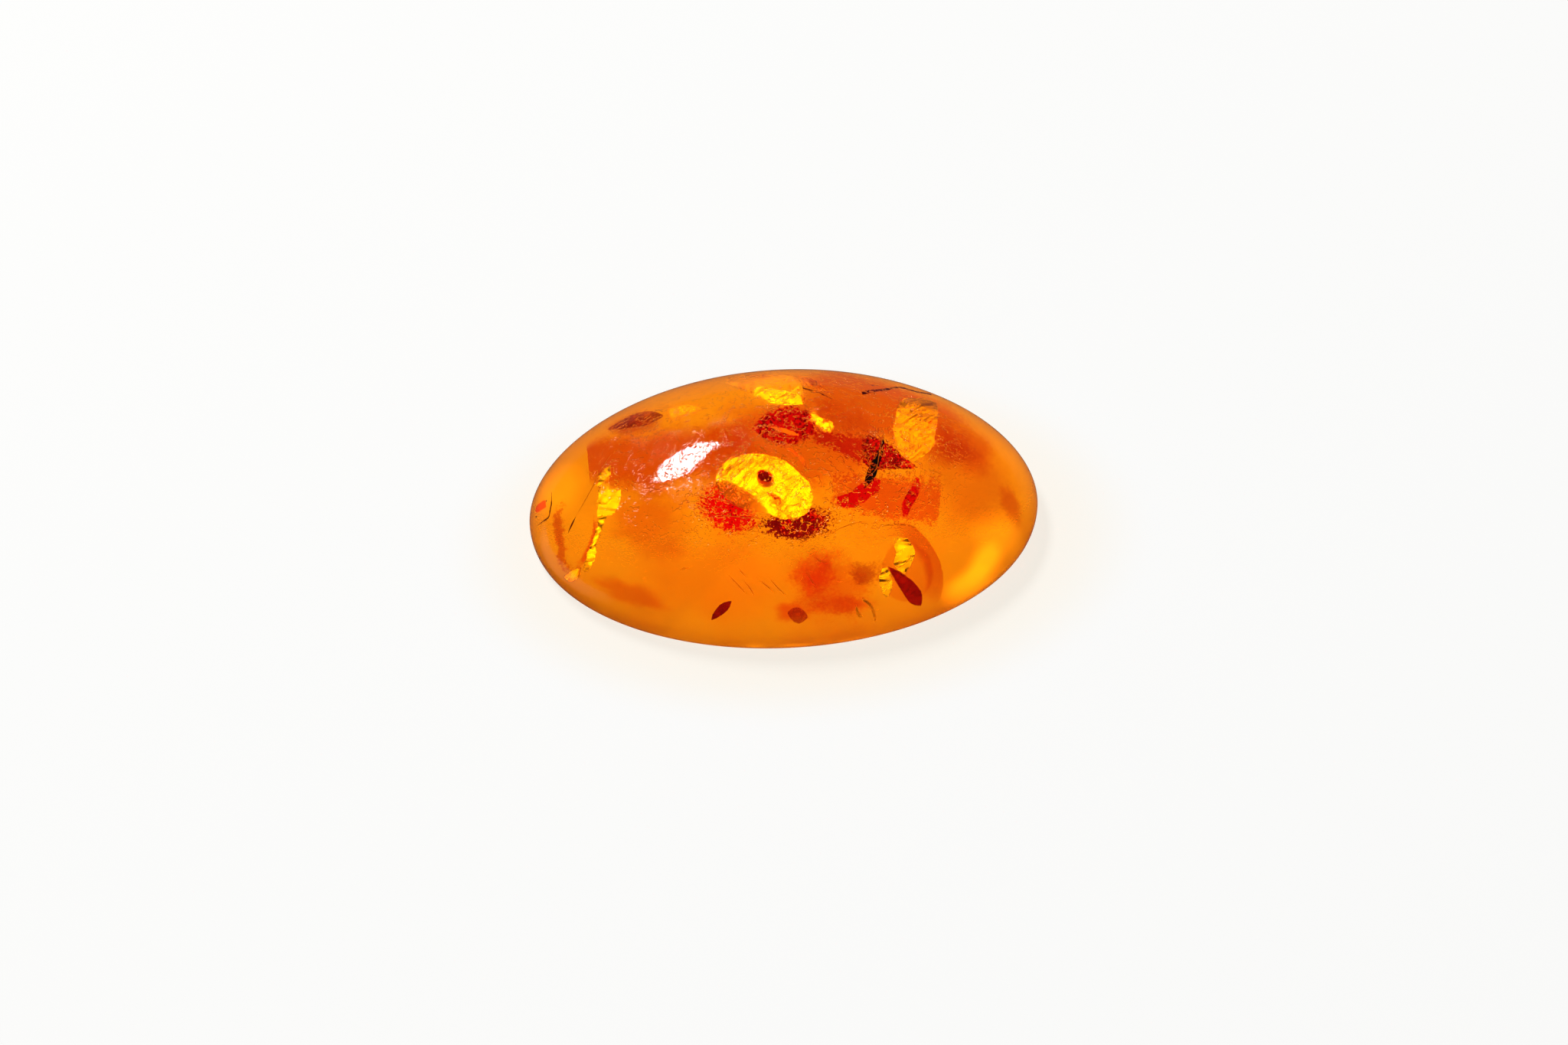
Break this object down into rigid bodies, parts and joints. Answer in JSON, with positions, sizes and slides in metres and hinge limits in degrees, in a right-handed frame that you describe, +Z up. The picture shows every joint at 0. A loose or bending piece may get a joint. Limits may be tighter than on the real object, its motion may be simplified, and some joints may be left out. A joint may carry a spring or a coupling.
{
  "type": "amber stone",
  "caption": "Polished oval cabochon of clear amber, domed above a flat back, with scraps of bark, wood, leaf and plant hair sealed inside.",
  "frame": {"origin": "middle of the flat oval back, at the level of the surface the stone rests on", "axes": "+X along the stone's length, +Y across its width, +Z up out of the dome"},
  "size_m": [0.03, 0.0204, 0.008],
  "materials": {
    "amber": "clear orange resin, polished, with fine scratches and pits",
    "bark": "dark red-brown, crumbled, dull",
    "wood": "near black, grained lengthwise, dull",
    "leaf": "dark red, thin and creased, dull",
    "bud_scale": "brown, ribbed lengthwise, dull",
    "plant_hair": "dark brown thread, dull",
    "spangle": "gas-filled crack, bright yellow like foil, finely rayed",
    "red_stain": "old crack stained red, see-through, crazed and speckled"
  },
  "bodies": {
    "root": {"amber_base": "amber", "amber_dome": "amber", "bark_flake": "bark", "bark_crumb": "bark", "wood_splinter": "wood", "leaf_scrap": "leaf", "bud_scale": "bud_scale", "plant_hair": "plant_hair", "central_spangle": "spangle", "red_crack_left": "red_stain", "red_crack_below": "red_stain"}
  },
  "joints": []
}
